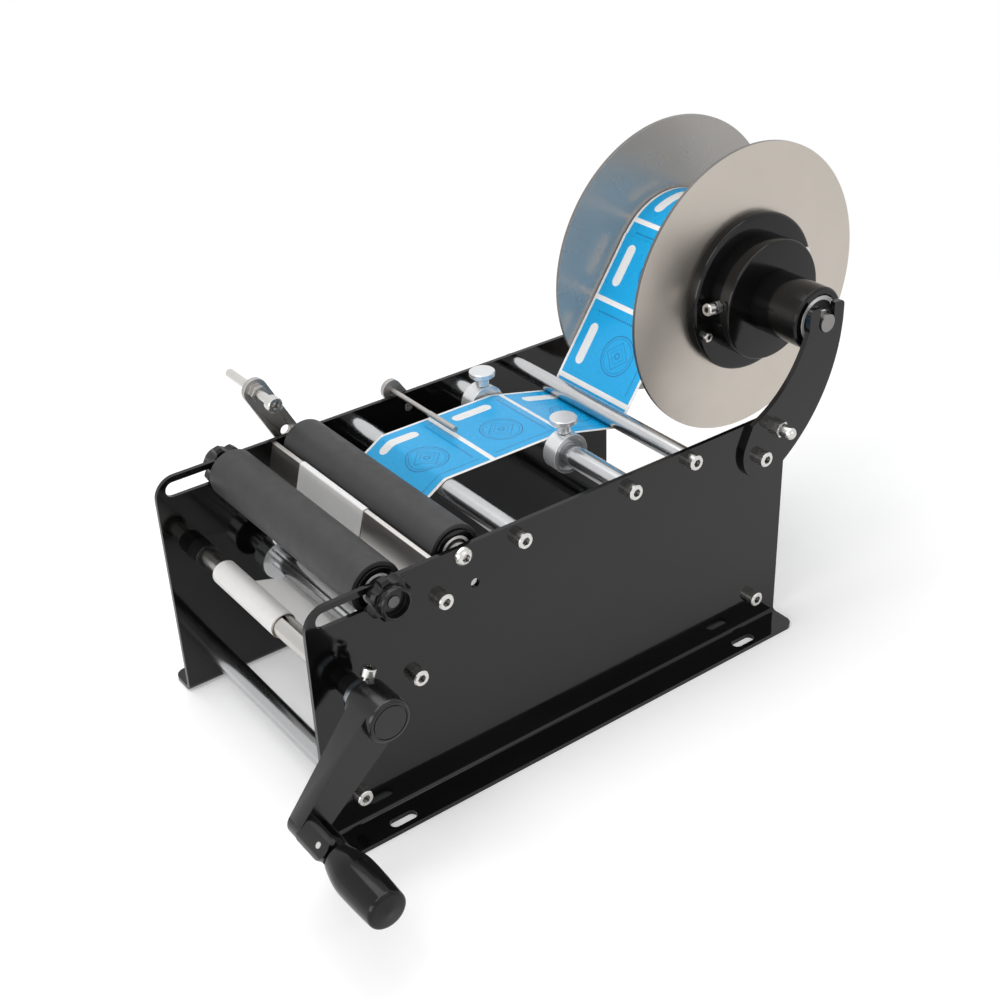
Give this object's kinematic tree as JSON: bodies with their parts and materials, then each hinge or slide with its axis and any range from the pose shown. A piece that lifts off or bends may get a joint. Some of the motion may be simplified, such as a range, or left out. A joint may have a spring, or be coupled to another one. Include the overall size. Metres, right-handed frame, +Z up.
{
  "type": "bottle labelling machine",
  "caption": "Hand-cranked bottle labelling machine: black side plates, rubber bottle rollers, peel bar, web rods, folding-grip crank and a label reel on curved arms.",
  "frame": {"origin": "midway between the four foot slots, on the standing plane", "axes": "+X from the bottle rollers to the reel, +Y from the crank side to the far side, +Z up"},
  "size_m": [0.4397, 0.279, 0.2605],
  "materials": {
    "black_paint": "gloss",
    "bright_rod": "satin",
    "bright_screw": "polished",
    "nickel": "polished",
    "turned_steel": "satin",
    "peel_steel": "satin",
    "rubber": "matte",
    "black_plastic": "satin",
    "gloss_black": "gloss",
    "disc_alu": "brushed",
    "paper": "matte",
    "label": "satin"
  },
  "bodies": {
    "frame": {"right_plate": "black_paint", "left_plate": "black_paint", "foot_rods": "bright_rod", "backing_rod": "bright_rod", "peel_bar": "peel_steel", "lead_rod": "bright_rod", "guide_rod": "bright_rod", "drop_rod": "bright_rod", "tie_screws_right": "bright_screw", "tie_screws_left": "bright_screw", "button_screws": "bright_screw", "rear_roller_shaft": "turned_steel", "rear_bearing_inners": "bright_screw", "takeup_bushes": "black_plastic", "right_arm": "black_paint", "left_arm": "black_paint", "arm_fasteners": "bright_screw", "label_web": "label", "label_feed": "label"},
    "rear_roller": {"rear_roller_core": "black_plastic", "rear_roller_sleeve": "rubber", "rear_bearing_outers": "bright_screw"},
    "front_shaft": {"front_roller_shaft": "turned_steel", "front_bearing_inners": "bright_screw"},
    "front_roller": {"front_roller_core": "black_plastic", "front_roller_sleeve": "rubber", "front_bearing_outers": "bright_screw"},
    "knob_right": {"star_knob_right": "black_plastic"},
    "knob_left": {"star_knob_left": "black_plastic"},
    "crank": {"takeup_shaft": "turned_steel", "takeup_tube": "turned_steel", "takeup_paper": "paper", "crank_collar": "turned_steel", "crank_set_screw": "bright_screw", "crank_arm": "black_paint", "fold_pin": "bright_screw"},
    "grip_holder": {"grip_spindle": "black_paint"},
    "grip": {"grip": "gloss_black"},
    "reel_axle": {"reel_shaft": "turned_steel", "reel_bearing_inners": "bright_screw"},
    "reel": {"reel_tube": "black_plastic", "reel_bearing_outers": "bright_screw", "far_disc": "disc_alu", "far_hub": "black_plastic", "label_roll": "label"},
    "near_side": {"near_disc": "disc_alu", "near_hub": "black_plastic", "near_hub_screws": "bright_screw"},
    "hub_lock": {"hub_lock_screw": "bright_screw"},
    "guide_right": {"guide_collar_right": "nickel"},
    "thumb_right": {"guide_screw_right": "nickel"},
    "guide_left": {"guide_collar_left": "nickel"},
    "thumb_left": {"guide_screw_left": "nickel"},
    "backing_guide_right": {"backing_collar_right": "nickel"},
    "backing_guide_left": {"backing_collar_left": "nickel"},
    "pointer": {"pointer_lever": "turned_steel", "pointer_rod": "bright_rod"},
    "stop": {"stop_lever": "turned_steel"},
    "stop_rod": {"stop_screw": "bright_screw"}
  },
  "joints": [
    {"name": "crank_turn", "type": "hinge", "parent": "frame", "child": "crank", "pos_m": [-0.1315, 0, 0.087], "axis": [0, 1, 0], "continuous": true},
    {"name": "grip_fold", "type": "hinge", "parent": "crank", "child": "grip_holder", "pos_m": [-0.17393, -0.122, 0.04457], "axis": [0.7071, 0, -0.7071], "range_deg": [0, 90]},
    {"name": "grip_spin", "type": "hinge", "parent": "grip_holder", "child": "grip", "pos_m": [-0.17393, -0.15, 0.04457], "axis": [0, 1, 0], "continuous": true},
    {"name": "front_roller_slide", "type": "slide", "parent": "frame", "child": "front_shaft", "axis": [1, 0, 0], "range_m": [-0.031, 0.0078]},
    {"name": "front_roller_spin", "type": "hinge", "parent": "front_shaft", "child": "front_roller", "pos_m": [-0.108, 0, 0.1265], "axis": [0, 1, 0], "continuous": true},
    {"name": "knob_right_turn", "type": "hinge", "parent": "front_shaft", "child": "knob_right", "pos_m": [-0.108, -0.08, 0.1265], "axis": [0, 1, 0], "range_deg": [0, 180]},
    {"name": "knob_left_turn", "type": "hinge", "parent": "front_shaft", "child": "knob_left", "pos_m": [-0.108, 0.08, 0.1265], "axis": [0, 1, 0], "range_deg": [0, 180]},
    {"name": "rear_roller_spin", "type": "hinge", "parent": "frame", "child": "rear_roller", "pos_m": [-0.064, 0, 0.1288], "axis": [0, 1, 0], "continuous": true},
    {"name": "reel_lift", "type": "slide", "parent": "frame", "child": "reel_axle", "axis": [0, 0, 1], "range_m": [0, 0.02], "deforming": ["label_feed"]},
    {"name": "reel_spin", "type": "hinge", "parent": "reel_axle", "child": "reel", "pos_m": [0.173, 0, 0.178], "axis": [0, 1, 0], "continuous": true},
    {"name": "near_disc_slide", "type": "slide", "parent": "reel", "child": "near_side", "axis": [0, -1, 0], "range_m": [0, 0.03]},
    {"name": "hub_lock_turn", "type": "hinge", "parent": "near_side", "child": "hub_lock", "pos_m": [0.1372, -0.0328, 0.18176], "axis": [-0.9945, 0, 0.1045], "range_deg": [0, 180]},
    {"name": "guide_right_slide", "type": "slide", "parent": "frame", "child": "guide_right", "axis": [0, -1, 0], "range_m": [0, 0.044]},
    {"name": "thumb_right_turn", "type": "hinge", "parent": "guide_right", "child": "thumb_right", "pos_m": [0.0395, -0.0225, 0.1375], "axis": [0, 0, 1], "range_deg": [0, 180]},
    {"name": "guide_left_slide", "type": "slide", "parent": "frame", "child": "guide_left", "axis": [0, 1, 0], "range_m": [0, 0.016]},
    {"name": "thumb_left_turn", "type": "hinge", "parent": "guide_left", "child": "thumb_left", "pos_m": [0.0395, 0.0495, 0.1375], "axis": [0, 0, 1], "range_deg": [0, 180]},
    {"name": "backing_right_slide", "type": "slide", "parent": "frame", "child": "backing_guide_right", "axis": [0, -1, 0], "range_m": [-0.008, 0.036]},
    {"name": "backing_left_slide", "type": "slide", "parent": "frame", "child": "backing_guide_left", "axis": [0, 1, 0], "range_m": [-0.008, 0.009]},
    {"name": "pointer_swing", "type": "hinge", "parent": "frame", "child": "pointer", "pos_m": [0.005, 0.078, 0.125], "axis": [0, 1, 0], "range_deg": [-4, 68]},
    {"name": "stop_swing", "type": "hinge", "parent": "frame", "child": "stop", "pos_m": [-0.0577, 0.08, 0.111], "axis": [0, 1, 0], "range_deg": [-15, 40]},
    {"name": "stop_rod_slide", "type": "slide", "parent": "stop", "child": "stop_rod", "axis": [0, 1, 0], "range_m": [-0.02, 0.007]}
  ],
  "couplings": [
    {"joint": "rear_roller_spin", "follows": "crank_turn", "ratio": 0.51852},
    {"joint": "reel_spin", "follows": "crank_turn", "ratio": -0.16867}
  ]
}
